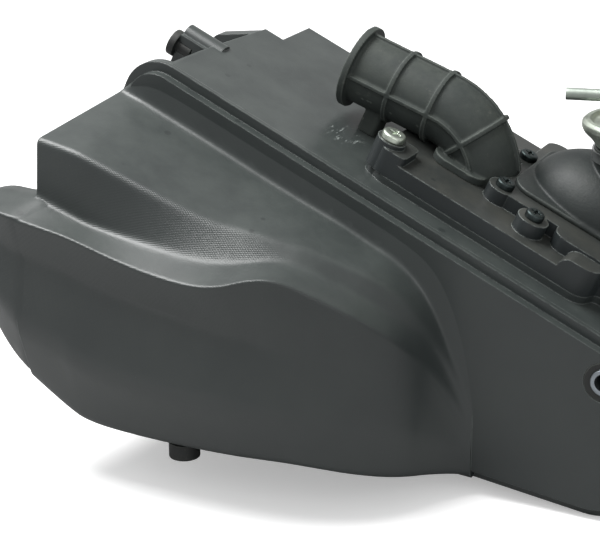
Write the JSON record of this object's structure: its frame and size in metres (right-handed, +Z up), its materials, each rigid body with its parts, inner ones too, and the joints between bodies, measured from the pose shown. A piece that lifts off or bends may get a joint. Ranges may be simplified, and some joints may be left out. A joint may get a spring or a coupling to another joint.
{
  "type": "intake plenum and throttle assembly",
  "caption": "Moulded intake plenum and air box with a ribbed rubber inlet elbow, a screwed filter cover and a rubber outlet boot carrying a butterfly throttle body.",
  "frame": {"origin": "centre of the bore on the throttle body's engine face", "axes": "+Z up out of the engine face; the case's parting plane is square to Y, its styled side faces -Y and its top slopes down towards +X"},
  "size_m": [0.331, 0.2212, 0.231],
  "materials": {
    "case_plastic": "satin moulded, slightly dusty",
    "cover_plastic": "satin moulded, slightly dusty",
    "seal_rubber": "matt",
    "elbow_rubber": "matt, dusty",
    "boot_rubber": "semi-gloss",
    "filter_frame_plastic": "matt",
    "filter_paper": "matt, oiled",
    "casting": "cast, blasted",
    "turned_steel": "turned",
    "plate_brass": "satin",
    "pulley_plating": "yellow zinc",
    "spring_steel": "drawn wire",
    "plated_screw": "bright zinc",
    "black_screw": "black oxide",
    "sensor_plastic": "semi-gloss",
    "band_steel": "bright",
    "pipe_metal": "dull",
    "collar_steel": "dull zinc"
  },
  "bodies": {
    "box": {"outer_case": "case_plastic", "inner_case": "case_plastic", "case_seal": "seal_rubber", "case_screws": "plated_screw", "filter_cover": "cover_plastic", "cover_seal": "seal_rubber", "cover_screws": "black_screw", "corner_screw": "plated_screw", "filter_frame": "filter_frame_plastic", "filter_pleats": "filter_paper", "filter_seal": "seal_rubber", "intake_elbow": "elbow_rubber", "outlet_boot": "boot_rubber", "throttle_body": "casting", "return_spring": "spring_steel", "idle_screw": "turned_steel", "idle_nut": "turned_steel", "throttle_sensor": "sensor_plastic", "sensor_screws": "plated_screw", "boot_clamp": "band_steel", "clamp_screw": "plated_screw", "vacuum_pipe": "pipe_metal", "side_grommet": "seal_rubber", "side_collar": "collar_steel", "mount_buffer": "seal_rubber"},
    "throttle": {"throttle_shaft": "turned_steel", "throttle_plate": "plate_brass", "plate_screws": "plated_screw", "throttle_pulley": "pulley_plating", "shaft_nut": "turned_steel"},
    "plug": {"drain_plug": "seal_rubber"}
  },
  "joints": [
    {"name": "throttle_spindle", "type": "hinge", "parent": "box", "child": "throttle", "pos_m": [0, 0, -0.03], "axis": [-0.2588, 0.9659, 0], "range_deg": [0, 80], "stiffness_Nm_per_rad": 0.08, "springref_deg": -20.05},
    {"name": "plug_pull", "type": "slide", "parent": "box", "child": "plug", "axis": [0, 0, -1], "range_m": [0, 0.025]}
  ]
}
